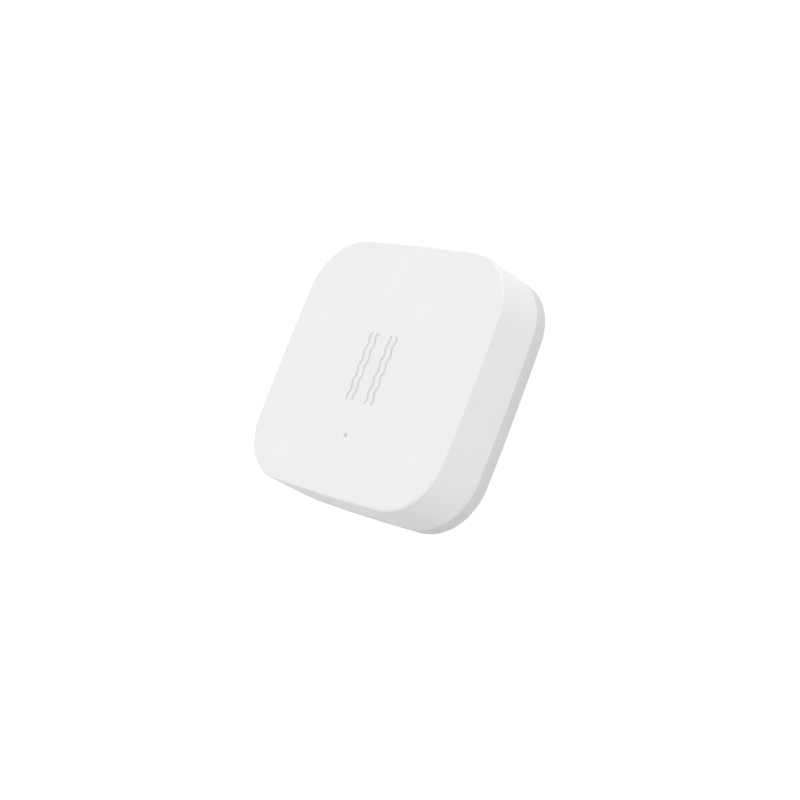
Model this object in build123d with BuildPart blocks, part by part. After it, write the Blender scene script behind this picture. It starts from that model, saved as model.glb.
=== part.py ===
from build123d import *
from math import radians, sqrt, tan
import os

# Vibration sensor tag: a palm-sized rounded-square sensor, stuck to the thing that it watches.
#
# A white front shell and a grey rear shell snap together round a circuit board. The board
# carries the motion-sensing chip, the radio, a status light and a side switch, and a holder
# behind it grips a coin cell. A round cover, turned with a coin, closes the battery compartment
# from behind, and a foam pad round that cover sticks the tag down.
#
# Frame: X to the right and Y up as the front is read, and Z out of the front face. The origin
# is the centre of the pad's sticky face, so the tag rests on the plane Z = 0. Lengths are
# millimetres and angles degrees.

# Outline of the body, seen from the front
body_width = 44.2  # across opposite sides, at the parting line
side_radius = 450.0  # each side is bowed out very slightly
corner_radius = 10.0

# Shells
pad_stand = 1.0  # how far the foam pad holds the body off the wall
base_height = 2.5  # rear shell, from its back face to the parting line
shell_draft = 1.7  # lean of the front shell's walls
base_draft = 1.0  # lean of the rear shell's rim
shell_wall = 1.5
front_wall = 1.5
head_gap = 1.15  # from the tallest part on the board to the front wall
front_round = 0.35
back_bevel = 0.1
base_floor = 1.2
overrun = 1.0  # how far a cut runs past the face that it breaks

# Lip and snap beads that join the shells
lip_height = 1.8
lip_thickness = 1.0
lip_gap = 0.12
bead_depth = 0.4
bead_rise = 0.35  # half of a bead's height
bead_lift = 0.9  # from the parting line to the middle of a bead
bead_length = 6.0
bead_spacing = 14.0
bead_bevel = 0.25
bead_gap = 0.1

# Coin cell, a standard one 20 mm across and 3.2 mm thick
cell_radius = 10.0
cell_height = 3.2
can_wall = 0.25
can_bevel = 0.2
crimp_reach = 0.7  # how far the can's rim is rolled in over the seal
cap_rise = 0.2  # how far the cap stands out of the rolled rim
seal_wall = 0.3
filling_gap = 0.05
separator_thickness = 0.15
cathode_share = 0.55  # of the height inside the cell

# Battery cover, with its skirt, its bayonet lugs and its coin slot
cover_rim = 1.1
cover_middle = 1.9
cover_reach = 1.3  # from the skirt to the cover's edge
cover_gap = 0.15
cover_bevel = 0.2
cell_gap = 0.2  # between the closed cover and the cell
cell_play = 0.55  # between the cell and the skirt
skirt_wall = 0.95
lug_count = 3
lug_reach = 1.0
lug_thickness = 0.9
lug_angle = 24.0
lug_play = 2.0
twist_angle = 30.0  # from locked to free
coin_radius = 20.0
coin_depth = 0.9
coin_slot_width = 1.9

# Rear shell's bayonet ledge, collar and ribs
ledge_thickness = 0.9
ledge_gap = 0.1
stop_angle = 6.0
collar_wall = 1.4
rib_count = 12
rib_thickness = 0.8
rib_height = 0.9

# Circuit board
contact_space = 0.7  # from the cell to the board
board_thickness = 0.8
board_gap = 0.5
notch_gap = 0.3  # round the button, in the board's edge
foil_thickness = 0.1
antenna_width = 0.5
antenna_reach = 3.2
antenna_pitch = 1.5
antenna_turns = 5
antenna_inset = 1.0
antenna_share = 0.2
test_pad_count = 5
test_pad_radius = 0.6
test_pad_pitch = 1.9
test_pad_shares = (-0.1, -0.8)

# Screws, with the front shell's bosses and locating pins
screw_inset = 6.6  # from the board's sides
screw_radius = 0.7
screw_fit = 0.02
screw_tip_gap = 0.5
screw_head_radius = 1.3
screw_head_height = 0.9
driver_width = 0.35
driver_depth = 0.45
boss_radius = 1.9
gusset_thickness = 0.7
gusset_reach = 1.6
gusset_drop = 0.8
pin_radius = 0.6
pin_fit = 0.05
side_pin_share = -0.8

# Holder and contacts of the coin cell
holder_gap = 0.15
holder_wall = 1.7
holder_lift = 0.2  # above the collar and the cover's skirt
holder_notch = 5.0
shoulder_reach = 1.1
shoulder_gap = 0.05
peg_count = 4
peg_radius = 0.5
strip_thickness = 0.2
strip_width = 4.0
strip_bend = 0.35
strip_gap = 0.08
strip_foot = 3.2
finger_slit = 0.8
finger_shares = (-0.65, -0.4, 0.15, 0.35)  # foot and touching stretch, of the cell's radius

# Side switch
switch_width = 4.5
switch_height = 1.8
switch_wall = 0.4
frame_thickness = 0.15
frame_drop = 1.3
plunger_width = 1.9
plunger_height = 0.9
plunger_reach = 0.8
plunger_flange = 0.45
plunger_step = 0.3
plunger_gap = 0.05
spring_rise = 0.45
spring_thickness = 0.08
spring_height = 1.0

# Side button
button_radius = 1.3
button_fit = 0.1
button_sink = 0.15  # below the wall, so that it isn't pressed by accident
button_travel = 0.25
button_bevel = 0.2
button_flange_reach = 0.6
button_flange = 0.6
button_gap = 0.05

# Status light and its light pipe
light_radius = 0.4  # hole in the front face
light_drop = 11.6  # below the middle of the front face
light_length = 1.6
light_width = 0.8
light_height = 0.6
light_lens_length = 1.1
light_base = 0.25
light_gap = 0.1
tip_gap = 0.03
tip_sink = 0.12
tip_length = 0.9
stem_radius = 0.9
stem_fit = 0.05
pipe_boss_wall = 0.8
pipe_flange = 0.5
pipe_flange_reach = 0.6
pipe_bevel = 0.15

# Chips and small parts on the board
chip_width = 6.0
chip_height = 0.85
chip_bevel = 0.1
chip_dot_radius = 0.3
chip_dot_depth = 0.1
chip_dot_inset = 0.9
sensor_width = 3.0
sensor_depth = 3.3
sensor_height = 1.0
sensor_dot_radius = 0.2
crystal_width = 3.2
crystal_depth = 2.5
crystal_height = 0.75
crystal_rim = 0.25
crystal_base = 0.35
reservoir_width = 3.5
reservoir_depth = 2.8
reservoir_height = 1.8
reservoir_tab = 0.3
capacitor_length = 1.0
capacitor_width = 0.5
capacitor_height = 0.5
resistor_length = 1.0
resistor_width = 0.5
resistor_height = 0.35
end_cap_length = 0.22
end_cap_proud = 0.03

# Places on the board, as shares of half its width
chip_shares = (-0.42, 0.2)
sensor_shares = (0.0, 0.06)
crystal_shares = (-0.42, -0.16)
reservoir_shares = (0.42, -0.22)
capacitor_shares = (
    (-0.66, 0.1),
    (-0.66, 0.2),
    (-0.66, 0.3),
    (-0.5, 0.47),
    (-0.4, 0.47),
    (-0.3, 0.47),
    (0.14, 0.06),
    (-0.14, 0.06),
    (0.42, -0.08),
    (0.5, 0.3),
)
resistor_shares = ((-0.16, 0.24), (-0.16, 0.31), (0.3, 0.6), (0.3, 0.68), (0.16, -0.56), (-0.3, -0.44))

# Foam pad
pad_inset = 1.6
pad_recess = 0.2  # depth of its seat in the rear shell
pad_gap = 0.2
pad_hole_wall = 0.6  # what is left of the rear shell's back between the cover and the pad
pad_bevel = 0.15

# Levels, from the back to the front
back_z = pad_stand
parting_z = back_z + base_height
floor_z = back_z + base_floor
ledge_z = back_z + cover_rim + ledge_gap
ledge_top_z = ledge_z + ledge_thickness
lug_z = ledge_top_z + ledge_gap
collar_top_z = lug_z + lug_thickness
cell_z = back_z + cover_middle + cell_gap
cell_top_z = cell_z + cell_height
board_z = cell_top_z + contact_space
board_top_z = board_z + board_thickness
ceiling_z = board_top_z + switch_height + frame_thickness + head_gap
front_z = ceiling_z + front_wall
holder_z = collar_top_z + holder_lift
button_z = board_top_z + switch_height / 2
pipe_z = board_top_z + light_height + light_gap
pipe_boss_z = pipe_z + pipe_flange
tip_z = front_z - tip_sink - tip_length

# Radii round the middle, from the cell outwards
skirt_radius = cell_radius + cell_play + skirt_wall
opening_radius = skirt_radius + cover_gap
channel_radius = skirt_radius + lug_reach + cover_gap
cover_radius = skirt_radius + cover_reach
seat_radius = cover_radius + cover_gap
collar_radius = channel_radius + collar_wall
pad_hole_radius = seat_radius + pad_hole_wall
holder_bore = cell_radius + holder_gap
holder_radius = holder_bore + holder_wall
peg_place = (holder_bore + holder_radius) / 2

# Insets from the body's outline
board_inset = shell_wall + board_gap
lip_inset = shell_wall + lip_gap
lip_inner_inset = lip_inset + lip_thickness
lip_middle_inset = lip_inset + lip_thickness / 2
bead_inset = lip_inset - bead_depth


def lean(z):
    """How far the front shell's draft has brought its wall in at the level z."""
    return (z - parting_z) * tan(radians(shell_draft))


# Chain from the upper wall to the switch, along Y
button_flange_radius = button_radius + button_flange_reach
button_outer_y = body_width / 2 - lean(button_z) - button_sink
flange_front_y = body_width / 2 - shell_wall - lean(button_z + button_flange_radius) - button_gap
flange_back_y = flange_front_y - button_flange
notch_y = flange_back_y - button_travel - notch_gap
switch_front_y = flange_back_y - plunger_reach
plunger_flange_y = switch_front_y - switch_wall - plunger_gap - plunger_flange
spring_y = plunger_flange_y - plunger_gap - spring_thickness - spring_rise
switch_back_y = spring_y - switch_wall
switch_middle_y = (switch_front_y + switch_back_y) / 2

# Places on the board
board_half = body_width / 2 - board_inset
screw_place = board_half - screw_inset
screw_places = ((-screw_place, screw_place), (screw_place, -screw_place), (-screw_place, -screw_place))
pin_places = ((screw_place, screw_place), (side_pin_share * board_half, 0))
light_place = (0, -light_drop)
lug_angles = [360 / lug_count * number for number in range(lug_count)]
upper_wall = Plane((0, 0, 0), x_dir=(-1, 0, 0), z_dir=(0, 1, 0))
parting_plane = Plane.XY.offset(parting_z)


def on_board(shares):
    """A place on the board, from shares of half the board's width."""
    return (shares[0] * board_half, shares[1] * board_half)


def body_outline(inset=0):
    """The rounded-square outline of the body, drawn in all round by the inset."""
    bow_center = side_radius - body_width / 2
    radius = side_radius - inset
    corner = (sqrt(2 * radius**2 - bow_center**2) - bow_center) / 2
    with BuildSketch(mode=Mode.PRIVATE) as outline:
        with BuildLine():
            RadiusArc((corner, -corner), (corner, corner), -radius)
            RadiusArc((corner, corner), (-corner, corner), -radius)
            RadiusArc((-corner, corner), (-corner, -corner), -radius)
            RadiusArc((-corner, -corner), (corner, -corner), -radius)
        make_face()
        fillet(outline.vertices(), corner_radius - inset)
    return outline.sketch


def bead_bars():
    """Two bars across each side, which cut a ring down to the places of the snap beads."""
    with BuildSketch(mode=Mode.PRIVATE) as bars:
        with PolarLocations(body_width / 2, 4):
            with GridLocations(0, bead_spacing, 1, 2):
                Rectangle(body_width / 4, bead_length)
    return bars.sketch


def ring_sector(inner_radius, outer_radius, middle_angle, width_angle):
    """A piece of a flat ring round the middle, as wide as the angle."""
    start = middle_angle - width_angle / 2
    with BuildSketch(mode=Mode.PRIVATE) as sector:
        with BuildLine():
            inner = CenterArc((0, 0), inner_radius, start, width_angle)
            outer = CenterArc((0, 0), outer_radius, start, width_angle)
            Line(inner @ 0, outer @ 0)
            Line(inner @ 1, outer @ 1)
        make_face()
    return sector.sketch


# Front shell: a drafted cup, with what holds the board and the light pipe inside
with BuildPart() as cavity:
    with BuildSketch(parting_plane):
        add(body_outline(shell_wall))
    extrude(amount=ceiling_z - parting_z)
    draft(cavity.faces().filter_by(GeomType.CYLINDER), parting_plane, shell_draft)

with BuildPart() as front_shell:
    with BuildSketch(parting_plane):
        add(body_outline())
    extrude(amount=front_z - parting_z)
    draft(front_shell.faces().filter_by(GeomType.CYLINDER), parting_plane, shell_draft)
    fillet(front_shell.edges().group_by(Axis.Z)[-1], front_round)
    add(cavity.part, mode=Mode.SUBTRACT)

    # Grooves for the snap beads
    groove_rise = bead_rise + bead_gap
    with BuildSketch(Plane.XY.offset(parting_z + bead_lift - groove_rise)):
        add(bead_bars())
        add(body_outline(bead_inset - bead_gap), mode=Mode.INTERSECT)
    extrude(amount=2 * groove_rise, mode=Mode.SUBTRACT)

    # Screw bosses with gussets along X and Y, and bosses for the locating pins
    boss_height = ceiling_z + front_wall / 2 - board_top_z
    with BuildSketch(Plane.XY.offset(board_top_z)):
        with Locations(*screw_places, *pin_places):
            Circle(boss_radius)
    extrude(amount=boss_height)
    with BuildSketch(Plane.XY.offset(board_top_z + gusset_drop)):
        with Locations(*screw_places):
            Rectangle(2 * (boss_radius + gusset_reach), gusset_thickness)
            Rectangle(gusset_thickness, 2 * (boss_radius + gusset_reach))
    extrude(amount=boss_height - gusset_drop)
    with BuildSketch(Plane.XY.offset(board_top_z)):
        with Locations(*screw_places):
            Circle(screw_radius + screw_fit)
    extrude(amount=ceiling_z - board_top_z - screw_tip_gap / 2, mode=Mode.SUBTRACT)
    with BuildSketch(Plane.XY.offset(board_z)):
        with Locations(*pin_places):
            Circle(pin_radius)
    extrude(amount=board_thickness)

    # Tube for the light pipe, and the pinhole through the front face
    with BuildSketch(Plane.XY.offset(pipe_boss_z)):
        with Locations(light_place):
            Circle(stem_radius + stem_fit + pipe_boss_wall)
    extrude(amount=ceiling_z + front_wall / 2 - pipe_boss_z)
    with BuildSketch(Plane.XY.offset(pipe_boss_z)):
        with Locations(light_place):
            Circle(stem_radius + stem_fit)
    extrude(amount=tip_z - pipe_boss_z, mode=Mode.SUBTRACT)
    with BuildSketch(Plane.XY.offset(pipe_boss_z)):
        with Locations(light_place):
            Circle(light_radius)
    extrude(amount=front_z - pipe_boss_z + overrun, mode=Mode.SUBTRACT)

    # Button hole through the upper wall
    with BuildSketch(upper_wall.offset(body_width / 2 - shell_wall - overrun)):
        with Locations((0, button_z)):
            Circle(button_radius + button_fit)
    extrude(amount=shell_wall + 2 * overrun, mode=Mode.SUBTRACT)
front_shell.part.label = "front_shell"

# Rear shell: a shallow drafted tray, with the lip, the snap beads, the collar and the ribs
with BuildPart() as snap_beads:
    bead_plane = Plane.XY.offset(parting_z + bead_lift - bead_rise)
    with BuildSketch(bead_plane):
        add(body_outline(bead_inset))
    extrude(amount=2 * bead_rise)
    bead_edges = snap_beads.edges().group_by(Axis.Z)
    chamfer(bead_edges[0] + bead_edges[-1], bead_bevel)
    with BuildSketch(bead_plane):
        add(body_outline(lip_middle_inset))
    extrude(amount=2 * bead_rise, mode=Mode.SUBTRACT)
    with BuildSketch(bead_plane):
        add(bead_bars())
    extrude(amount=2 * bead_rise, mode=Mode.INTERSECT)

with BuildPart() as base_shell:
    with BuildSketch(parting_plane):
        add(body_outline())
    extrude(amount=-base_height)
    draft(base_shell.faces().filter_by(GeomType.CYLINDER), -parting_plane, base_draft)
    chamfer(base_shell.edges().group_by(Axis.Z)[0], back_bevel)
    with BuildSketch(parting_plane):
        add(body_outline(lip_inset))
    extrude(amount=lip_height)
    with BuildSketch(Plane.XY.offset(floor_z)):
        add(body_outline(lip_inner_inset))
    extrude(amount=parting_z + lip_height - floor_z, mode=Mode.SUBTRACT)

    add(snap_beads.part)

    # Collar round the battery cover, and ribs from it to the lip
    with BuildSketch(Plane.XY.offset(floor_z)):
        with PolarLocations(body_width / 2, rib_count):
            Rectangle(body_width, rib_thickness)
        add(body_outline(lip_middle_inset), mode=Mode.INTERSECT)
    extrude(amount=rib_height)
    with BuildSketch(Plane.XY.offset(back_z)):
        Circle(collar_radius)
    extrude(amount=collar_top_z - back_z)

    # Bayonet: the cover's seat, the ledge, the channel for the lugs, and the way in for them
    with BuildSketch(Plane.XY.offset(back_z)):
        Circle(seat_radius)
    extrude(amount=ledge_z - back_z, mode=Mode.SUBTRACT)
    with BuildSketch(Plane.XY.offset(ledge_top_z)):
        Circle(channel_radius)
    extrude(amount=collar_top_z - ledge_top_z, mode=Mode.SUBTRACT)
    with BuildSketch(Plane.XY.offset(ledge_z)):
        Circle(opening_radius)
        for angle in lug_angles:
            way_in = lug_angle + 2 * lug_play
            add(ring_sector(skirt_radius, channel_radius, angle - twist_angle, way_in))
    extrude(amount=ledge_thickness, mode=Mode.SUBTRACT)

    # Stops at both ends of each lug's way
    with BuildSketch(Plane.XY.offset(ledge_top_z)):
        for angle in lug_angles:
            stop_place = (lug_angle + stop_angle) / 2 + lug_play
            stop_radius = channel_radius + collar_wall / 2
            add(ring_sector(opening_radius, stop_radius, angle + stop_place, stop_angle))
            add(ring_sector(opening_radius, stop_radius, angle - twist_angle - stop_place, stop_angle))
    extrude(amount=collar_top_z - ledge_top_z)

    # Shallow seat for the foam pad
    with BuildSketch(Plane.XY.offset(back_z)):
        add(body_outline(pad_inset - pad_gap))
        Circle(pad_hole_radius - pad_gap, mode=Mode.SUBTRACT)
    extrude(amount=pad_recess, mode=Mode.SUBTRACT)
base_shell.part.label = "base_shell"

# Battery cover: a flanged disc whose skirt carries the bayonet lugs
with BuildPart() as battery_cover:
    with BuildSketch(Plane.XY.offset(back_z)):
        Circle(cover_radius)
    extrude(amount=cover_rim)
    chamfer(battery_cover.edges().group_by(Axis.Z)[0], cover_bevel)
    with BuildSketch(Plane.XY.offset(back_z + cover_rim)):
        Circle(skirt_radius)
    extrude(amount=collar_top_z - back_z - cover_rim)
    with BuildSketch(Plane.XY.offset(back_z + cover_middle)):
        Circle(skirt_radius - skirt_wall)
    extrude(amount=collar_top_z - back_z - cover_middle, mode=Mode.SUBTRACT)
    with BuildSketch(Plane.XY.offset(lug_z)):
        for angle in lug_angles:
            add(ring_sector(skirt_radius - skirt_wall / 2, skirt_radius + lug_reach, angle, lug_angle))
    extrude(amount=lug_thickness)
    # The slot has the round bottom that fits a coin
    with BuildSketch(Plane.XZ):
        with Locations((0, back_z + coin_depth - coin_radius)):
            Circle(coin_radius)
    extrude(amount=coin_slot_width / 2, both=True, mode=Mode.SUBTRACT)
battery_cover.part.label = "battery_cover"

# Foam pad round the battery cover
with BuildPart() as adhesive_pad:
    with BuildSketch():
        add(body_outline(pad_inset))
        Circle(pad_hole_radius, mode=Mode.SUBTRACT)
    extrude(amount=pad_stand + pad_recess)
    chamfer(adhesive_pad.edges().group_by(Axis.Z)[0], pad_bevel)
adhesive_pad.part.label = "adhesive_pad"

# Coin cell: the can, which is its positive pole, faces the cover
can_top_z = cell_top_z - cap_rise
can_inner = cell_radius - can_wall
crimp_radius = cell_radius - crimp_reach
crimp_z = can_top_z - can_wall
inside_z = cell_z + can_wall
with BuildPart() as battery_can:
    with BuildSketch(Plane.XZ):
        with BuildLine():
            Polyline(
                (0, cell_z),
                (cell_radius, cell_z),
                (cell_radius, can_top_z),
                (crimp_radius, can_top_z),
                (crimp_radius, crimp_z),
                (can_inner, crimp_z),
                (can_inner, inside_z),
                (0, inside_z),
                close=True,
            )
        make_face()
    revolve(axis=Axis.Z)
    chamfer(battery_can.edges().group_by(Axis.Z)[0], can_bevel)
battery_can.part.label = "battery_can"

# Plastic seal that keeps the can and the cap apart
cap_face_radius = crimp_radius - seal_wall
cap_radius = can_inner - seal_wall
cap_shoulder_z = crimp_z - seal_wall
cap_foot_z = inside_z + seal_wall
with BuildPart() as battery_seal:
    with BuildSketch(Plane.XZ):
        with BuildLine():
            Polyline(
                (cap_radius - can_wall, inside_z),
                (can_inner, inside_z),
                (can_inner, crimp_z),
                (crimp_radius, crimp_z),
                (crimp_radius, can_top_z),
                (cap_face_radius, can_top_z),
                (cap_face_radius, cap_shoulder_z),
                (cap_radius, cap_shoulder_z),
                (cap_radius, cap_foot_z),
                (cap_radius - can_wall, cap_foot_z),
                close=True,
            )
        make_face()
    revolve(axis=Axis.Z)
battery_seal.part.label = "battery_seal"

# Negative cap, a stepped cup that stands out of the rolled rim
with BuildPart() as battery_cap:
    with BuildSketch(Plane.XZ):
        with BuildLine():
            Polyline(
                (0, cell_top_z),
                (cap_face_radius, cell_top_z),
                (cap_face_radius, cap_shoulder_z),
                (cap_radius, cap_shoulder_z),
                (cap_radius, cap_foot_z),
                (cap_radius - can_wall, cap_foot_z),
                (cap_radius - can_wall, cap_shoulder_z - can_wall),
                (cap_face_radius - can_wall, cap_shoulder_z - can_wall),
                (cap_face_radius - can_wall, cell_top_z - can_wall),
                (0, cell_top_z - can_wall),
                close=True,
            )
        make_face()
    revolve(axis=Axis.Z)
battery_cap.part.label = "battery_cap"

# What fills the cell: a pressed pellet, a separator and a metal disc
filling_radius = cap_face_radius - can_wall - filling_gap
cathode_top_z = inside_z + cathode_share * (cell_top_z - can_wall - inside_z)
separator_top_z = cathode_top_z + separator_thickness
with BuildPart() as battery_cathode:
    with BuildSketch(Plane.XY.offset(inside_z)):
        Circle(filling_radius)
    extrude(amount=cathode_top_z - inside_z)
battery_cathode.part.label = "battery_cathode"

with BuildPart() as battery_separator:
    with BuildSketch(Plane.XY.offset(cathode_top_z)):
        Circle(filling_radius)
    extrude(amount=separator_thickness)
battery_separator.part.label = "battery_separator"

with BuildPart() as battery_anode:
    with BuildSketch(Plane.XY.offset(separator_top_z)):
        Circle(filling_radius)
    extrude(amount=cell_top_z - can_wall - separator_top_z)
battery_anode.part.label = "battery_anode"

# Circuit board, notched for the button and drilled for screws, pins and pegs
with BuildPart() as circuit_board:
    with BuildSketch(Plane.XY.offset(board_z)):
        add(body_outline(board_inset))
        with Locations((0, notch_y + body_width / 2)):
            Rectangle(2 * (button_flange_radius + notch_gap), body_width, mode=Mode.SUBTRACT)
        with Locations(*screw_places):
            Circle(screw_radius + screw_fit, mode=Mode.SUBTRACT)
        with Locations(*pin_places):
            Circle(pin_radius + pin_fit, mode=Mode.SUBTRACT)
        with PolarLocations(peg_place, peg_count, start_angle=45):
            Circle(peg_radius + pin_fit, mode=Mode.SUBTRACT)
    extrude(amount=board_thickness)
circuit_board.part.label = "circuit_board"

# Radio antenna: a strip of foil that runs to and fro along the board's right side
with BuildPart() as antenna_trace:
    with BuildSketch(Plane.XY.offset(board_top_z)):
        outer_x = board_half - antenna_inset - antenna_width / 2
        inner_x = outer_x - antenna_reach
        with BuildLine():
            meander = []
            for number in range(antenna_turns):
                low_y = antenna_share * board_half + number * antenna_pitch
                mid_y = low_y + antenna_pitch / 2
                meander += [(inner_x, low_y), (outer_x, low_y), (outer_x, mid_y), (inner_x, mid_y)]
            Polyline(*meander)
        trace(line_width=antenna_width)
    extrude(amount=foil_thickness)
antenna_trace.part.label = "antenna_trace"

with BuildPart() as test_pads:
    with BuildSketch(Plane.XY.offset(board_z - foil_thickness)):
        with Locations(on_board(test_pad_shares)):
            with GridLocations(test_pad_pitch, 0, test_pad_count, 1):
                Circle(test_pad_radius)
    extrude(amount=foil_thickness)
test_pads.part.label = "test_pads"

# Radio and processor chip
with BuildPart() as microcontroller:
    with BuildSketch(Plane.XY.offset(board_top_z)):
        with Locations(on_board(chip_shares)):
            Rectangle(chip_width, chip_width)
    extrude(amount=chip_height)
    chamfer(microcontroller.edges().group_by(Axis.Z)[-1], chip_bevel)
    chip_x, chip_y = on_board(chip_shares)
    dot_place = chip_width / 2 - chip_dot_inset
    with BuildSketch(Plane.XY.offset(board_top_z + chip_height - chip_dot_depth)):
        with Locations((chip_x - dot_place, chip_y + dot_place)):
            Circle(chip_dot_radius)
    extrude(amount=chip_dot_depth, mode=Mode.SUBTRACT)
microcontroller.part.label = "microcontroller"

# Motion sensor chip, near the middle of the body
with BuildPart() as accelerometer:
    with BuildSketch(Plane.XY.offset(board_top_z)):
        with Locations(on_board(sensor_shares)):
            Rectangle(sensor_width, sensor_depth)
    extrude(amount=sensor_height)
    chamfer(accelerometer.edges().group_by(Axis.Z)[-1], chip_bevel)
    sensor_x, sensor_y = on_board(sensor_shares)
    with BuildSketch(Plane.XY.offset(board_top_z + sensor_height - chip_dot_depth)):
        with Locations((sensor_x - sensor_width / 4, sensor_y + sensor_depth / 4)):
            Circle(sensor_dot_radius)
    extrude(amount=chip_dot_depth, mode=Mode.SUBTRACT)
accelerometer.part.label = "accelerometer"

# Quartz crystal that times the radio: a lid on a slightly wider base
with BuildPart() as radio_crystal:
    with BuildSketch(Plane.XY.offset(board_top_z)):
        with Locations(on_board(crystal_shares)):
            Rectangle(crystal_width, crystal_depth)
    extrude(amount=crystal_base)
    with BuildSketch(Plane.XY.offset(board_top_z + crystal_base)):
        with Locations(on_board(crystal_shares)):
            RectangleRounded(crystal_width - crystal_rim, crystal_depth - crystal_rim, crystal_rim)
    extrude(amount=crystal_height - crystal_base)
radio_crystal.part.label = "radio_crystal"

# Reservoir capacitor, a moulded block with a metal tab at each end
with BuildPart() as reservoir_capacitor:
    with BuildSketch(Plane.XY.offset(board_top_z)):
        with Locations(on_board(reservoir_shares)):
            Rectangle(reservoir_width, reservoir_depth)
    extrude(amount=reservoir_height)
    chamfer(reservoir_capacitor.edges().group_by(Axis.Z)[-1], chip_bevel)
    with BuildSketch(Plane.XY.offset(board_top_z)):
        with Locations(on_board(reservoir_shares)):
            Rectangle(reservoir_width + 2 * reservoir_tab, reservoir_depth * 2 / 3)
    extrude(amount=reservoir_height / 2)
reservoir_capacitor.part.label = "reservoir_capacitor"


def small_part(place, length, width, height):
    """One small board part, with its metal end caps slightly proud of its body."""
    cap_place = (length - end_cap_length) / 2
    with BuildPart(mode=Mode.PRIVATE) as piece:
        with BuildSketch(Plane.XY.offset(board_top_z)):
            with Locations(place):
                Rectangle(length, width)
        extrude(amount=height)
        with BuildSketch(Plane.XY.offset(board_top_z)):
            with Locations((place[0] - cap_place, place[1]), (place[0] + cap_place, place[1])):
                Rectangle(end_cap_length, width + 2 * end_cap_proud)
        extrude(amount=height + end_cap_proud)
    return piece.part


with BuildPart() as chip_capacitors:
    for shares in capacitor_shares:
        add(small_part(on_board(shares), capacitor_length, capacitor_width, capacitor_height))
chip_capacitors.part.label = "chip_capacitors"

with BuildPart() as chip_resistors:
    for shares in resistor_shares:
        add(small_part(on_board(shares), resistor_length, resistor_width, resistor_height))
chip_resistors.part.label = "chip_resistors"

# Status light under the pinhole, and the clear pipe that carries its light there
with BuildPart() as status_led:
    with BuildSketch(Plane.XY.offset(board_top_z)):
        with Locations(light_place):
            Rectangle(light_length, light_width)
    extrude(amount=light_base)
    with BuildSketch(Plane.XY.offset(board_top_z + light_base)):
        with Locations(light_place):
            Rectangle(light_lens_length, light_width)
    extrude(amount=light_height - light_base)
status_led.part.label = "status_led"

with BuildPart() as light_pipe:
    with BuildSketch(Plane.XY.offset(pipe_z)):
        with Locations(light_place):
            Circle(stem_radius + pipe_flange_reach)
    extrude(amount=pipe_flange)
    with BuildSketch(Plane.XY.offset(pipe_boss_z)):
        with Locations(light_place):
            Circle(stem_radius)
    extrude(amount=tip_z - pipe_boss_z)
    chamfer(light_pipe.edges().group_by(Axis.Z)[-1], pipe_bevel)
    with BuildSketch(Plane.XY.offset(tip_z)):
        with Locations(light_place):
            Circle(light_radius - tip_gap)
    extrude(amount=tip_length)
light_pipe.part.label = "light_pipe"

# Side switch: an open-topped housing, a sheet frame over it, a bowed spring and a plunger
with BuildPart() as switch_housing:
    with BuildSketch(Plane.XY.offset(board_top_z)):
        with Locations((0, switch_middle_y)):
            Rectangle(switch_width, switch_front_y - switch_back_y)
    extrude(amount=switch_height)
    with BuildSketch(Plane.XY.offset(board_top_z + switch_wall)):
        with Locations((0, switch_middle_y)):
            Rectangle(switch_width - 2 * switch_wall, switch_front_y - switch_back_y - 2 * switch_wall)
    extrude(amount=switch_height, mode=Mode.SUBTRACT)
    with BuildSketch(Plane.XY.offset(button_z - plunger_height / 2 - plunger_gap)):
        with Locations((0, switch_front_y)):
            Rectangle(plunger_width + 2 * plunger_gap, 2 * (switch_wall + plunger_gap))
    extrude(amount=switch_height, mode=Mode.SUBTRACT)
switch_housing.part.label = "switch_housing"

frame_width = switch_width + 2 * frame_thickness
frame_depth = switch_front_y - switch_back_y
with BuildPart() as switch_frame:
    with BuildSketch(Plane.XY.offset(board_top_z + switch_height - frame_drop)):
        with Locations((0, switch_middle_y)):
            Rectangle(frame_width, frame_depth)
            Rectangle(switch_width, frame_depth, mode=Mode.SUBTRACT)
    extrude(amount=frame_drop)
    with BuildSketch(Plane.XY.offset(board_top_z + switch_height)):
        with Locations((0, switch_middle_y)):
            Rectangle(frame_width, frame_depth)
    extrude(amount=frame_thickness)
switch_frame.part.label = "switch_frame"

spring_half = switch_width / 2 - switch_wall - plunger_gap
with BuildPart() as switch_spring:
    with BuildSketch(Plane.XY.offset(button_z - spring_height / 2)):
        with BuildLine():
            outer = ThreePointArc(
                (-spring_half, spring_y + spring_thickness),
                (0, spring_y + spring_thickness + spring_rise),
                (spring_half, spring_y + spring_thickness),
            )
            inner = ThreePointArc(
                (-spring_half, spring_y),
                (0, spring_y + spring_rise),
                (spring_half, spring_y),
            )
            Line(outer @ 0, inner @ 0)
            Line(outer @ 1, inner @ 1)
        make_face()
    extrude(amount=spring_height)
switch_spring.part.label = "switch_spring"

with BuildPart() as switch_plunger:
    with BuildSketch(upper_wall.offset(plunger_flange_y)):
        with Locations((0, button_z)):
            Rectangle(plunger_width + 2 * plunger_step, plunger_height)
    extrude(amount=plunger_flange)
    with BuildSketch(upper_wall.offset(plunger_flange_y + plunger_flange)):
        with Locations((0, button_z)):
            Rectangle(plunger_width, plunger_height)
    extrude(amount=flange_back_y - plunger_flange_y - plunger_flange)
switch_plunger.part.label = "switch_plunger"

# Side button, held in by its flange
with BuildPart() as reset_button:
    with BuildSketch(upper_wall.offset(flange_front_y)):
        with Locations((0, button_z)):
            Circle(button_radius)
    extrude(amount=button_outer_y - flange_front_y)
    chamfer(reset_button.edges().group_by(Axis.Y)[-1], button_bevel)
    with BuildSketch(upper_wall.offset(flange_back_y)):
        with Locations((0, button_z)):
            Circle(button_flange_radius)
    extrude(amount=button_flange)
reset_button.part.label = "reset_button"

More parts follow.
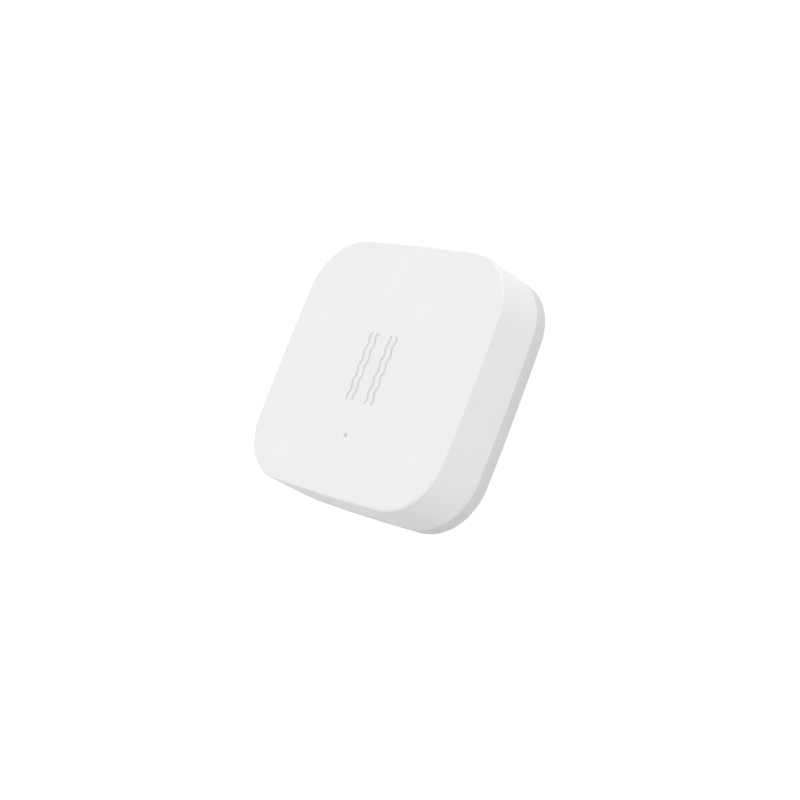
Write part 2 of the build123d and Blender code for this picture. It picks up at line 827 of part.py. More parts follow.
# Holder behind the board, a ring with a shoulder that stops the cell short of the board
with BuildPart() as battery_holder:
    with BuildSketch(Plane.XZ):
        with BuildLine():
            Polyline(
                (holder_bore, holder_z),
                (holder_radius, holder_z),
                (holder_radius, board_z),
                (holder_bore - shoulder_reach, board_z),
                (holder_bore - shoulder_reach, cell_top_z + shoulder_gap),
                (holder_bore, cell_top_z + shoulder_gap),
                close=True,
            )
        make_face()
    revolve(axis=Axis.Z)
    with BuildSketch(Plane.XY.offset(board_z)):
        with PolarLocations(peg_place, peg_count, start_angle=45):
            Circle(peg_radius)
    extrude(amount=board_thickness)
    # Way out for the side contact
    with BuildSketch(Plane.XY.offset(holder_z)):
        with Locations((holder_radius, 0)):
            Rectangle(2 * (holder_wall + shoulder_reach + overrun), holder_notch)
    extrude(amount=board_z - holder_z, mode=Mode.SUBTRACT)
battery_holder.part.label = "battery_holder"

# Contacts: a blade against the can's side, and two fingers against the cap
foot_z = board_z - strip_thickness / 2
blade_x = cell_radius + strip_gap + strip_thickness / 2
with BuildPart() as positive_contact:
    with BuildSketch(Plane.XZ):
        with BuildLine():
            FilletPolyline(
                (blade_x + strip_foot, foot_z),
                (blade_x, foot_z),
                (blade_x, holder_z),
                radius=strip_bend,
            )
        trace(line_width=strip_thickness)
    extrude(amount=strip_width / 2, both=True)
positive_contact.part.label = "positive_contact"

touch_z = cell_top_z + strip_gap + strip_thickness / 2
foot_start, foot_end, touch_start, touch_end = [share * cell_radius for share in finger_shares]
with BuildPart() as negative_contact:
    with BuildSketch(Plane.XZ):
        with BuildLine():
            FilletPolyline(
                (foot_start, foot_z),
                (foot_end, foot_z),
                (touch_start, touch_z),
                (touch_end, touch_z),
                radius=strip_bend,
            )
        trace(line_width=strip_thickness)
    extrude(amount=strip_width / 2, both=True)
    with BuildSketch(Plane.XY.offset(cell_top_z)):
        with Locations(((foot_end + cell_radius) / 2, 0)):
            Rectangle(cell_radius - foot_end, finger_slit)
    extrude(amount=contact_space, mode=Mode.SUBTRACT)
negative_contact.part.label = "negative_contact"

# Screws that hold the board to the front shell
screw_tip_z = ceiling_z - screw_tip_gap
with BuildPart() as board_screws:
    with BuildSketch(Plane.XY.offset(board_z - screw_head_height)):
        with Locations(*screw_places):
            Circle(screw_head_radius)
    extrude(amount=screw_head_height)
    with BuildSketch(Plane.XY.offset(board_z)):
        with Locations(*screw_places):
            Circle(screw_radius)
    extrude(amount=screw_tip_z - board_z)
    with BuildSketch(Plane.XY.offset(board_z - screw_head_height)):
        with Locations(*screw_places):
            Rectangle(driver_width, screw_head_radius)
            Rectangle(screw_head_radius, driver_width)
    extrude(amount=driver_depth, mode=Mode.SUBTRACT)
board_screws.part.label = "board_screws"

os.makedirs("parts", exist_ok=True)
export_step(front_shell.part, "parts/front_shell.step")
export_step(base_shell.part, "parts/base_shell.step")
export_step(battery_cover.part, "parts/battery_cover.step")
export_step(adhesive_pad.part, "parts/adhesive_pad.step")
export_step(battery_can.part, "parts/battery_can.step")
export_step(battery_seal.part, "parts/battery_seal.step")
export_step(battery_cap.part, "parts/battery_cap.step")
export_step(battery_cathode.part, "parts/battery_cathode.step")
export_step(battery_separator.part, "parts/battery_separator.step")
export_step(battery_anode.part, "parts/battery_anode.step")
export_step(circuit_board.part, "parts/circuit_board.step")
export_step(antenna_trace.part, "parts/antenna_trace.step")
export_step(test_pads.part, "parts/test_pads.step")
export_step(microcontroller.part, "parts/microcontroller.step")
export_step(accelerometer.part, "parts/accelerometer.step")
export_step(radio_crystal.part, "parts/radio_crystal.step")
export_step(reservoir_capacitor.part, "parts/reservoir_capacitor.step")
export_step(chip_capacitors.part, "parts/chip_capacitors.step")
export_step(chip_resistors.part, "parts/chip_resistors.step")
export_step(status_led.part, "parts/status_led.step")
export_step(light_pipe.part, "parts/light_pipe.step")
export_step(switch_housing.part, "parts/switch_housing.step")
export_step(switch_frame.part, "parts/switch_frame.step")
export_step(switch_spring.part, "parts/switch_spring.step")
export_step(switch_plunger.part, "parts/switch_plunger.step")
export_step(reset_button.part, "parts/reset_button.step")
export_step(battery_holder.part, "parts/battery_holder.step")
export_step(positive_contact.part, "parts/positive_contact.step")
export_step(negative_contact.part, "parts/negative_contact.step")
export_step(board_screws.part, "parts/board_screws.step")
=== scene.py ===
"""Looks for a vibration sensor tag: moulded shells, engraved mark, foam pad, board and stage.

Every length is in metres and in the frame of the packed model: +Z out of the front face, +Y up
and +X to the right as the front is read.
"""

import math
from bisect import bisect_right
from collections import Counter, defaultdict

import bmesh
import bpy
from bpy.props import FloatProperty, FloatVectorProperty, IntProperty, PointerProperty
from mathutils import Matrix, Vector
from mathutils.geometry import convex_hull_2d


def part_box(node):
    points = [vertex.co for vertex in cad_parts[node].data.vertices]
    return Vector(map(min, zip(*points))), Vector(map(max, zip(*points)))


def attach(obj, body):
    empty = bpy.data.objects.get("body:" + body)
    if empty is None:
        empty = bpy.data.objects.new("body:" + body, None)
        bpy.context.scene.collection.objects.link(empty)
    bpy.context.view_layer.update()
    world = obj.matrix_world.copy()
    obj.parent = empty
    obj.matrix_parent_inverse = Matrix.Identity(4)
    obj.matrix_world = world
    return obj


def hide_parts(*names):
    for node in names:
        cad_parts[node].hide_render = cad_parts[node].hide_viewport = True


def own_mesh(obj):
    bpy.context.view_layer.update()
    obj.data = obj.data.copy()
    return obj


bl_info = {
    "name": "Vibration Sensor Tag",
    "version": (1, 0, 0),
    "blender": (4, 5, 0),
    "location": "View3D > Sidebar > Sensor Tag",
    "description": "Dresses the packed model of a stick-on vibration sensor",
    "category": "Object",
}

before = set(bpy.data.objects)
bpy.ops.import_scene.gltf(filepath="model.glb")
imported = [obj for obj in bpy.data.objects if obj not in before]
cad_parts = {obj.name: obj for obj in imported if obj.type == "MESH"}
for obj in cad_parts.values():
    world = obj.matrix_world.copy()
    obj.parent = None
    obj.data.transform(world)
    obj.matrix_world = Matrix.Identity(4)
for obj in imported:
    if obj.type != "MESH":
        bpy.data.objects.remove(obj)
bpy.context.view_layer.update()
MM = 0.001

# Corners of a CAD node's loose triangles that lie nearer than this are one point
MERGE_DISTANCE = 0.0005 * MM
# Faces that turn by more than this make an edge
SHARP_ANGLE = math.radians(32)

# The mark's grooves: points along a line, and sides of the round rod that cuts it
LINE_POINTS = 241
ROD_SIDES = 16
# The rods' widest part is just above the face, and not in its plane
ROD_LIFT = 0.015 * MM

# The tinned ends of a chip part start at this share of its half length
END_CAP_START = 0.62

# The floor: its paper, the glow that makes it white to the camera, and how far it lies under the
# pad's face, so that the two never share a plane
PAPER_COLOR = "#cccccc"
PAPER_GLOW = 0.75
FLOOR_DROP = 0.02 * MM

# The studio's soft boxes: the direction that each shines from, and its strength
SOFT_BOXES = (
    ((-0.366, -0.211, 0.906), 2.0),
    ((0.0, 0.996, 0.087), 3.29),
    ((0.791, -0.212, 0.574), 1.79),
    ((0.166, -0.621, 0.766), 0.39),
    ((0.97, 0.225, 0.087), 1.2),
    ((-0.86, 0.5, 0.087), 1.9),
)

# The camera's right, up and back axes, fitted to the body's outline and the mark in the photograph
CAMERA_AXES = ((0.702, 0.3563, -0.6166), (-0.1581, 0.9222, 0.3529), (0.6944, -0.1503, 0.7038))


# Colours and node helpers


def linear(hex_code):
    """Linear RGBA of an sRGB hex colour such as "#f0f0f0"."""
    channels = [int(hex_code[start : start + 2], 16) / 255 for start in (1, 3, 5)]
    return (*(c / 12.92 if c <= 0.04045 else ((c + 0.055) / 1.055) ** 2.4 for c in channels), 1.0)


def shade(color, factor):
    """A linear colour, darker or paler by a factor."""
    return (*(min(1.0, channel * factor) for channel in color[:3]), 1.0)


def add_node(tree, kind, inputs=None, **settings):
    """Adds one node with its settings. An input is a plain value, or a socket to link from."""
    node = tree.nodes.new(kind)
    for name, value in settings.items():
        setattr(node, name, value)
    for name, value in (inputs or {}).items():
        if isinstance(value, bpy.types.NodeSocket):
            tree.links.new(value, node.inputs[name])
        else:
            node.inputs[name].default_value = value
    return node


def new_material(name, inputs):
    """A material with a principled shader, and the tree, shader and coordinates to build on."""
    material = bpy.data.materials.new(name)
    material.use_nodes = True
    tree = material.node_tree
    shader = tree.nodes["Principled BSDF"]
    for socket, value in inputs.items():
        shader.inputs[socket].default_value = value
    place = add_node(tree, "ShaderNodeTexCoord").outputs["Object"]
    return material, tree, shader, place


def mottle(tree, place, size, low=0.0, high=1.0, detail=2.0):
    """A value that wanders between low and high over spots of a real size in metres."""
    noise = add_node(
        tree, "ShaderNodeTexNoise", {"Vector": place, "Scale": 1 / size, "Detail": detail}
    )
    spread = add_node(
        tree,
        "ShaderNodeMapRange",
        {
            "Value": noise.outputs["Fac"],
            "From Min": 0.3,
            "From Max": 0.7,
            "To Min": low,
            "To Max": high,
        },
    )
    return spread.outputs["Result"]


def finish_surface(tree, shader, blend, colors, roughness, relief=None, depth=0.0, strength=1.0):
    """Leads a finish into the shader: a blend of two colours, a roughness and a relief.

    The blend and the relief run from 0 to 1, and the depth of the relief is in metres.
    """
    color = add_node(
        tree, "ShaderNodeMix", {"Factor": blend, "A": colors[0], "B": colors[1]}, data_type="RGBA"
    )
    tree.links.new(color.outputs["Result"], shader.inputs["Base Color"])
    tree.links.new(roughness, shader.inputs["Roughness"])
    if relief:
        bump = add_node(
            tree, "ShaderNodeBump", {"Height": relief, "Distance": depth, "Strength": strength}
        )
        tree.links.new(bump.outputs["Normal"], shader.inputs["Normal"])


def seen_share(tree):
    """1 for rays from the camera and those that reflect or pass on what it sees, otherwise 0."""
    path = add_node(tree, "ShaderNodeLightPath").outputs
    share = path["Is Camera Ray"]
    for ray in ("Is Glossy Ray", "Is Transmission Ray"):
        either = add_node(tree, "ShaderNodeMath", {0: share, 1: path[ray]}, operation="MAXIMUM")
        share = either.outputs[0]
    return share


# Materials, one for each real finish


def moulded_abs(name, color, grain, roughness):
    """Injection-moulded ABS: a fine spark-eroded grain gives it a soft, even sheen."""
    material, tree, shader, place = new_material(name, {"IOR": 1.53, "Roughness": roughness})
    finish_surface(
        tree,
        shader,
        blend=mottle(tree, place, 9 * MM),
        colors=(shade(color, 0.992), shade(color, 1.008)),
        roughness=mottle(tree, place, 2.5 * MM, roughness - 0.03, roughness + 0.03),
        relief=mottle(tree, place, grain, detail=3),
        depth=0.002 * MM,
        strength=0.35,
    )
    return material


def groove_shade_paint(name, color, thin):
    """Matt grey of the mark's grooves, darker than the face: painted shade in the grooves, a
    little paler in random spots.
    """
    material, tree, shader, place = new_material(name, {"IOR": 1.5, "Roughness": 0.6})
    finish_surface(
        tree,
        shader,
        blend=mottle(tree, place, 0.4 * MM, detail=4),
        colors=(thin, color),
        roughness=mottle(tree, place, 0.25 * MM, 0.55, 0.68),
        relief=mottle(tree, place, 0.15 * MM),
        depth=0.002 * MM,
        strength=0.4,
    )
    return material


def moulded_nylon(name, color, worn):
    """Glass-filled nylon: matt, with a faint flow pattern from the mould's gate."""
    material, tree, shader, place = new_material(name, {"IOR": 1.53, "Roughness": 0.55})
    finish_surface(
        tree,
        shader,
        blend=mottle(tree, place, 1.2 * MM, detail=4),
        colors=(color, worn),
        roughness=mottle(tree, place, 0.6 * MM, 0.48, 0.62),
        relief=mottle(tree, place, 0.12 * MM),
        depth=0.004 * MM,
        strength=0.6,
    )
    return material


def plated_metal(name, color, dull, roughness):
    """Plated sheet or wire: a clear reflection, drawn out along the rolling direction."""
    material, tree, shader, place = new_material(name, {"Metallic": 1.0, "Roughness": roughness})
    # Rolling lines are about 0.05 mm apart, and these are drawn coarser, so that they show
    line_width = 0.35 * MM
    rolled = add_node(
        tree, "ShaderNodeMapping", {"Vector": place, "Scale": (1.0, 0.08, 1.0)}
    ).outputs["Vector"]
    finish_surface(
        tree,
        shader,
        blend=mottle(tree, place, 1.5 * MM),
        colors=(dull, color),
        roughness=mottle(tree, rolled, line_width, roughness - 0.06, roughness + 0.08, detail=4),
        relief=mottle(tree, rolled, line_width / 3),
        depth=0.0015 * MM,
        strength=0.5,
    )
    return material


def acrylic_foam(name, color, cell_size):
    """Acrylic foam tape: closed cells pit its cut edge, with painted shade in their pits, and its
    film has a slight shine.
    """
    material, tree, shader, place = new_material(name, {"IOR": 1.47, "Roughness": 0.62})
    cells = add_node(tree, "ShaderNodeTexVoronoi", {"Vector": place, "Scale": 1 / cell_size})
    cell_relief_and_shade = add_node(
        tree,
        "ShaderNodeMapRange",
        {"Value": cells.outputs["Distance"], "From Min": 0.1, "From Max": 0.6},
    ).outputs["Result"]
    # The cells' pits are coloured darker, to 0.55 of the foam's colour: painted shade in the pits
    finish_surface(
        tree,
        shader,
        blend=cell_relief_and_shade,
        colors=(shade(color, 0.55), color),
        roughness=mottle(tree, place, 1.5 * MM, 0.5, 0.7),
        relief=cell_relief_and_shade,
        depth=0.03 * MM,
        strength=0.7,
    )
    return material


def milky_polycarbonate(name, color):
    """Light-diffusing polycarbonate of a light pipe: a milky body under a polished end."""
    material, tree, shader, place = new_material(
        name, {"IOR": 1.585, "Roughness": 0.2, "Transmission Weight": 0.15}
    )
    finish_surface(
        tree,
        shader,
        blend=mottle(tree, place, 0.5 * MM),
        colors=(shade(color, 0.96), color),
        roughness=mottle(tree, place, 0.3 * MM, 0.15, 0.26),
    )
    return material


def solder_mask(name, color, over_copper):
    """Glossy solder mask over glass-epoxy: paler where copper lies under it."""
    material, tree, shader, place = new_material(
        name, {"IOR": 1.5, "Roughness": 0.28, "Coat Weight": 0.4, "Coat Roughness": 0.12}
    )
    # Tracks of 3.3 mm by 1.4 mm
    tracks = add_node(
        tree,
        "ShaderNodeTexBrick",
        {
            "Vector": place,
            "Scale": 1 / (6 * MM),
            "Mortar Size": 0.035,
            "Brick Width": 0.55,
            "Row Height": 0.24,
        },
    ).outputs["Fac"]
    # A wave texture has about three waves to its size, so the glass cloth's threads are 0.75 mm
    weave = add_node(
        tree, "ShaderNodeTexWave", {"Vector": place, "Scale": 1 / (2.4 * MM), "Distortion": 0.4}
    ).outputs["Fac"]
    threads = add_node(tree, "ShaderNodeMath", {0: weave, 1: 0.15}, operation="MULTIPLY")
    height = add_node(
        tree, "ShaderNodeMath", {0: threads.outputs[0], 1: tracks}, operation="ADD"
    )
    finish_surface(
        tree,
        shader,
        blend=tracks,
        colors=(color, over_copper),
        roughness=mottle(tree, place, 3 * MM, 0.22, 0.34),
        relief=height.outputs[0],
        depth=0.02 * MM,
        strength=0.6,
    )
    return material


def moulded_epoxy(name, color, pale):
    """Epoxy moulding compound: matt, with fine glittering filler grains."""
    material, tree, shader, place = new_material(name, {"IOR": 1.55, "Roughness": 0.5})
    cells = add_node(tree, "ShaderNodeTexVoronoi", {"Vector": place, "Scale": 1 / (0.05 * MM)})
    grain = add_node(
        tree, "ShaderNodeSeparateColor", {"Color": cells.outputs["Color"]}
    ).outputs["Red"]
    finish_surface(
        tree,
        shader,
        blend=grain,
        colors=(color, pale),
        roughness=mottle(tree, place, 0.4 * MM, 0.42, 0.58),
        relief=grain,
        depth=0.003 * MM,
        strength=0.5,
    )
    return material


def sintered_ceramic(name, color, dark):
    """Sintered and glazed ceramic of a small board part: satin, with a cloudy tone."""
    material, tree, shader, place = new_material(name, {"IOR": 1.6, "Roughness": 0.42})
    finish_surface(
        tree,
        shader,
        blend=mottle(tree, place, 0.3 * MM, detail=4),
        colors=(dark, color),
        roughness=mottle(tree, place, 0.2 * MM, 0.35, 0.5),
        relief=mottle(tree, place, 0.08 * MM),
        depth=0.003 * MM,
        strength=0.6,
    )
    return material


def pressed_felt(name, color, pale):
    """Felt or pressed powder: dull, with a loose matted surface."""
    material, tree, shader, place = new_material(name, {"IOR": 1.45, "Roughness": 0.9})
    fibres = mottle(tree, place, 0.18 * MM, detail=6)
    finish_surface(
        tree,
        shader,
        blend=fibres,
        colors=(color, pale),
        roughness=mottle(tree, place, 0.5 * MM, 0.82, 0.96),
        relief=fibres,
        depth=0.02 * MM,
        strength=0.8,
    )
    return material


# Mesh helpers


def dress(mesh, *materials):
    """Gives a mesh its materials, in order. Its faces take the first one until they are told."""
    mesh.materials.clear()
    for material in materials:
        mesh.materials.append(material)


def finish_nodes(material, *nodes):
    """Gives its material to each CAD node that shows as it is."""
    for node in nodes:
        dress(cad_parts[node].data, material)


def piece_of(name, mesh, body, slot, *replaced):
    """Makes an object of a finished mesh, which rides on a body and stands for CAD nodes."""
    piece = bpy.data.objects.new(name, mesh)
    bpy.context.scene.collection.objects.link(piece)
    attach(piece, body)
    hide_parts(*replaced)
    return piece


def merged_copy(node):
    """A copy of a CAD node's mesh with its loose triangles joined into closed shells."""
    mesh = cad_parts[node].data.copy()
    build = bmesh.new()
    build.from_mesh(mesh)
    bmesh.ops.remove_doubles(build, verts=build.verts, dist=MERGE_DISTANCE)
    build.to_mesh(mesh)
    build.free()
    return mesh


def modified(mesh, kind, inputs=None, **settings):
    """What one modifier makes of a mesh, as a plain mesh. The mesh itself is used up.

    The inputs are those of a Geometry Nodes tree, by name.
    """
    carrier = bpy.data.objects.new("carrier", mesh)
    bpy.context.scene.collection.objects.link(carrier)
    modifier = carrier.modifiers.new(kind, kind)
    for name, value in settings.items():
        setattr(modifier, name, value)
    if inputs:
        for item in modifier.node_group.interface.items_tree:
            if item.in_out == "INPUT":
                modifier[item.identifier] = inputs[item.name]
    depsgraph = bpy.context.evaluated_depsgraph_get()
    result = bpy.data.meshes.new_from_object(carrier.evaluated_get(depsgraph), depsgraph=depsgraph)
    bpy.data.objects.remove(carrier)
    bpy.data.meshes.remove(mesh)
    return result


def soften(mesh, angle=SHARP_ANGLE):
    """Shades a mesh smooth, with an edge wherever its faces turn by more than an angle."""
    mesh.shade_smooth()
    mesh.set_sharp_from_angle(angle=angle)


def level_flats(mesh):
    """Weighs the faces at each corner by their whole plane, so no shade runs over a flat face."""
    # Faces are in one plane if its direction agrees to 0.001, and its distance to 0.01 mm
    planes = [
        (*(round(axis, 3) for axis in face.normal), round(face.normal.dot(face.center) / MM, 2))
        for face in mesh.polygons
    ]
    area = Counter()
    around = defaultdict(list)
    for face, plane in zip(mesh.polygons, planes):
        area[plane] += face.area
        for vertex in face.vertices:
            around[vertex].append(face)
    normals = []
    for face in mesh.polygons:
        for vertex in face.vertices:
            total = Vector()
            for other in around[vertex]:
                if other.normal.dot(face.normal) > math.cos(SHARP_ANGLE):
                    total += other.normal * area[planes[other.index]]
            normals.append(total.normalized())
    mesh.normals_split_custom_set(normals)


def shells(mesh):
    """The lists of face numbers that hang together, one for each closed shell of a mesh."""
    build = bmesh.new()
    build.from_mesh(mesh)
    build.faces.ensure_lookup_table()
    found, seen = [], set()
    for first in build.faces:
        if first.index in seen:
            continue
        seen.add(first.index)
        shell, queue = [], [first]
        while queue:
            face = queue.pop()
            shell.append(face.index)
            for other in (other for edge in face.edges for other in edge.link_faces):
                if other.index not in seen:
                    seen.add(other.index)
                    queue.append(other)
        found.append(shell)
    build.free()
    return found


def lowest_step(mesh, low_z, high_z):
    """The level of the lowest flat face between a mesh's bottom and its top."""
    levels = {round(face.center.z, 7) for face in mesh.polygons if abs(face.normal.z) > 0.99}
    clear = 0.01 * MM
    return min(level for level in levels if low_z + clear < level < high_z - clear)


def pad_edges(node, steps):
    """Points at even angles round a flat ring's outer edge, and the radius of its hole."""
    mesh = merged_copy(node)
    corners = [Vector((v.co.x, v.co.y)) for v in mesh.vertices]
    bpy.data.meshes.remove(mesh)
    hole = min(corner.length for corner in corners)
    hull = [corners[number] for number in convex_hull_2d(corners)]
    outer = sorted(hull, key=lambda corner: math.atan2(corner.y, corner.x))
    bearings = [math.atan2(corner.y, corner.x) for corner in outer]
    points = []
    for step in range(steps):
        angle = -math.pi + math.tau * (step + 0.5) / steps
        after = bisect_right(bearings, angle) % len(outer)
        first, second = outer[after - 1], outer[after]
        # Where the ray at this angle crosses the chord between the two corners
        along, side = Vector((math.cos(angle), math.sin(angle))), second - first
        points.append(along * (first.cross(side) / along.cross(side)))
    return points, hole


# Geometry Nodes


def wave_groove_tree(material):
    """Four wavy rods, two mirrored pairs, that cut the vibration mark's grooves."""
    tree = bpy.data.node_groups.new("wave_grooves", "GeometryNodeTree")
    for name in (
        "Length",
        "Wave Length",
        "Wave Height",
        "Tip Hook",
        "Pair Place",
        "Line Gap",
        "Radius",
        "Depth",
        "Level",
    ):
        tree.interface.new_socket(name, in_out="INPUT", socket_type="NodeSocketFloat")
    tree.interface.new_socket("Mesh", in_out="OUTPUT", socket_type="NodeSocketGeometry")
    values = dict(add_node(tree, "NodeGroupInput").outputs.items())
    position = add_node(tree, "GeometryNodeInputPosition").outputs["Position"]
    values["along"] = add_node(tree, "ShaderNodeSeparateXYZ", {"Vector": position}).outputs["Y"]

    # The formula, one Math node for each row: what it gives, the operation and its terms
    for name, operation, *terms in (
        ("top", "MULTIPLY", "Length", 0.5),
        ("bottom", "MULTIPLY", "top", -1.0),
        ("turns", "DIVIDE", "along", "Wave Length"),
        ("angle", "MULTIPLY", "turns", math.tau),
        ("wave", "COSINE", "angle"),
        ("wave_sway", "MULTIPLY", "wave", "Wave Height"),
        # Over the last tenth of its length to each side, a line hooks to the mark's middle
        ("distance", "ABSOLUTE", "along"),
        ("share", "DIVIDE", "distance", "top"),
        ("past_bend", "SUBTRACT", "share", 0.9),
        ("tip", "MAXIMUM", "past_bend", 0.0),
        ("tip_share", "MULTIPLY", "tip", 10.0),
        ("hook", "POWER", "tip_share", 2.0),
        ("hook_sway", "MULTIPLY", "hook", "Tip Hook"),
        ("sway", "SUBTRACT", "wave_sway", "hook_sway"),
        # A rod's ends are round: its radius falls off as a quarter circle over one radius
        ("full", "SUBTRACT", "top", "Radius"),
        ("past_full", "SUBTRACT", "distance", "full"),
        ("end_share", "DIVIDE", "past_full", "Radius"),
        ("end_start", "MAXIMUM", "end_share", 0.0),
        ("end", "MINIMUM", "end_start", 0.98),
        ("end_squared", "MULTIPLY", "end", "end"),
        ("thin", "SUBTRACT", 1.0, "end_squared"),
        ("roundness", "SQRT", "thin"),
        # The two lines of a pair, and how far the round rods are flattened
        ("inwards", "MULTIPLY", "Line Gap", -0.5),
        ("outwards", "MULTIPLY", "Line Gap", 0.5),
        ("inner", "ADD", "Pair Place", "inwards"),
        ("outer", "ADD", "Pair Place", "outwards"),
        ("flattening", "DIVIDE", "Depth", "Radius"),
    ):
        inputs = {number: values.get(term, term) for number, term in enumerate(terms)}
        values[name] = add_node(tree, "ShaderNodeMath", inputs, operation=operation).outputs[0]
    vectors = {
        name: add_node(tree, "ShaderNodeCombineXYZ", {axis: values[name]}).outputs["Vector"]
        for name, axis in (
            ("bottom", "Y"),
            ("top", "Y"),
            ("sway", "X"),
            ("inner", "X"),
            ("outer", "X"),
            ("Level", "Z"),
        )
    }

    line = add_node(
        tree, "GeometryNodeCurvePrimitiveLine", {"Start": vectors["bottom"], "End": vectors["top"]}
    )
    points = add_node(
        tree, "GeometryNodeResampleCurve", {"Curve": line.outputs["Curve"], "Count": LINE_POINTS}
    )
    bent = add_node(
        tree,
        "GeometryNodeSetPosition",
        {"Geometry": points.outputs["Curve"], "Offset": vectors["sway"]},
    )
    rod = add_node(
        tree,
        "GeometryNodeSetCurveRadius",
        {"Curve": bent.outputs["Geometry"], "Radius": values["roundness"]},
    )
    pair = add_node(tree, "GeometryNodeJoinGeometry")
    for place in ("inner", "outer"):
        moved = add_node(
            tree,
            "GeometryNodeTransform",
            {"Geometry": rod.outputs["Curve"], "Translation": vectors[place]},
        )
        tree.links.new(moved.outputs["Geometry"], pair.inputs["Geometry"])
    mirrored = add_node(
        tree,
        "GeometryNodeTransform",
        {"Geometry": pair.outputs["Geometry"], "Scale": (-1.0, 1.0, 1.0)},
    )
    lines = add_node(tree, "GeometryNodeJoinGeometry")
    for side in (pair, mirrored):
        tree.links.new(side.outputs["Geometry"], lines.inputs["Geometry"])
    section = add_node(
        tree,
        "GeometryNodeCurvePrimitiveCircle",
        {"Resolution": ROD_SIDES, "Radius": values["Radius"]},
    )
    rods = add_node(
        tree,
        "GeometryNodeCurveToMesh",
        {
            "Curve": lines.outputs["Geometry"],
            "Profile Curve": section.outputs["Curve"],
            "Scale": add_node(tree, "GeometryNodeInputRadius").outputs["Radius"],
            "Fill Caps": True,
        },
    )
    flat = add_node(
        tree, "ShaderNodeCombineXYZ", {"X": 1.0, "Y": 1.0, "Z": values["flattening"]}
    )
    sunk = add_node(
        tree,
        "GeometryNodeTransform",
        {
            "Geometry": rods.outputs["Mesh"],
            "Scale": flat.outputs["Vector"],
            "Translation": vectors["Level"],
        },
    )
    solid = add_node(
        tree, "GeometryNodeRealizeInstances", {"Geometry": sunk.outputs["Geometry"]}
    )
    # The groove faces take the rods' darker grey: painted shade in the grooves
    shade_painted = add_node(
        tree,
        "GeometryNodeSetMaterial",
        {"Geometry": solid.outputs["Geometry"], "Material": material},
    )
    add_node(tree, "NodeGroupOutput", {"Mesh": shade_painted.outputs["Geometry"]})
    return tree


# Settings that a user would change


def color_property(name, description, hex_code):
    """A colour that the panel shows."""
    return FloatVectorProperty(
        name=name,
        description=description,
        default=linear(hex_code),
        subtype="COLOR",
        size=4,
        min=0,
        max=1,
    )


def length_property(name, description, metres):
    """A length that the panel shows."""
    return FloatProperty(
        name=name, description=description, default=metres, unit="LENGTH", precision=5
    )


class ShellSettings(bpy.types.PropertyGroup):
    """Finish of the moulded shells."""

    front_color: color_property("Front shell", "Colour of the white front shell", "#f0f0f0")
    rear_color: color_property(
        "Rear shell", "Colour of the grey rear shell and battery cover", "#dcdddc"
    )
    roughness: FloatProperty(
        name="Roughness",
        description="Roughness of the shells",
        default=0.48,
        min=0,
        max=1,
        subtype="FACTOR",
    )
    # The real grain is about 0.05 mm, and it is drawn coarser, so that it shows
    grain: length_property("Grain", "Spacing of the moulded grain", 0.00022)


class MarkSettings(bpy.types.PropertyGroup):
    """Engraved vibration mark: two mirrored pairs of wavy grooves."""

    # The grooves' grey is painted shade: it stands for the shade that falls in them
    groove_shade_color: color_property("Ink", "Colour of the grooves' ink", "#d2d2d2")
    length: length_property("Length", "Length of each groove", 0.0118)
    wave_length: length_property("Wave length", "From crest to crest", 0.00263)
    wave_height: length_property("Wave height", "From the middle to a crest", 0.00015)
    tip_hook: length_property("Tip hook", "How far each tip bends to the mark's middle", 0.00022)
    pair_place: length_property("Pair place", "From the face's middle to each pair's", 0.0022)
    line_gap: length_property("Line gap", "Between the two lines of a pair", 0.00137)
    groove_width: length_property("Groove width", "Width of a groove at the face", 0.00036)
    groove_depth: length_property("Groove depth", "Depth of a groove's rod", 0.00012)


class PadSettings(bpy.types.PropertyGroup):
    """Foam pad on the back."""

    foam_color: color_property("Foam", "Colour of the acrylic foam", "#85878a")
    cell_size: length_property("Cell size", "Size of the foam's cells", 0.00018)
    waist: length_property("Waist", "How far a cut edge draws in at half its height", 0.00006)
    steps: IntProperty(name="Steps", description="Steps round the pad", default=256, min=32)


class BoardSettings(bpy.types.PropertyGroup):
    """Finish of the board and its parts."""

    mask_color: color_property("Solder mask", "Colour of the solder mask", "#14502c")
    track_color: color_property("Tracks", "Colour of the mask over copper", "#1d6a3b")
    gold_color: color_property("Gold", "Colour of the plated copper", "#e3bd69")
    steel_color: color_property("Steel", "Colour of plated steel", "#d2d1cf")


class StageSettings(bpy.types.PropertyGroup):
    """Floor, soft boxes and camera."""

    floor_size: length_property("Floor", "Side of the square floor", 4.0)
    box_strength: FloatProperty(
        name="Soft boxes", description="Strength of the studio's soft boxes", default=1.0
    )
    box_edge: FloatProperty(
        name="Edge",
        description="Cosine of the angle from a soft box's middle to its edge",
        default=0.75,
        min=0,
        max=1,
    )
    lens: FloatProperty(
        name="Lens", description="Focal length on a 36 mm frame", default=60.34, unit="CAMERA"
    )
    camera_place: FloatVectorProperty(
        name="Camera",
        description="Place of the camera",
        default=(0.1535, -0.03543, 0.15928),
        subtype="XYZ",
        unit="LENGTH",
    )


# Operators, one for each piece or group of like pieces


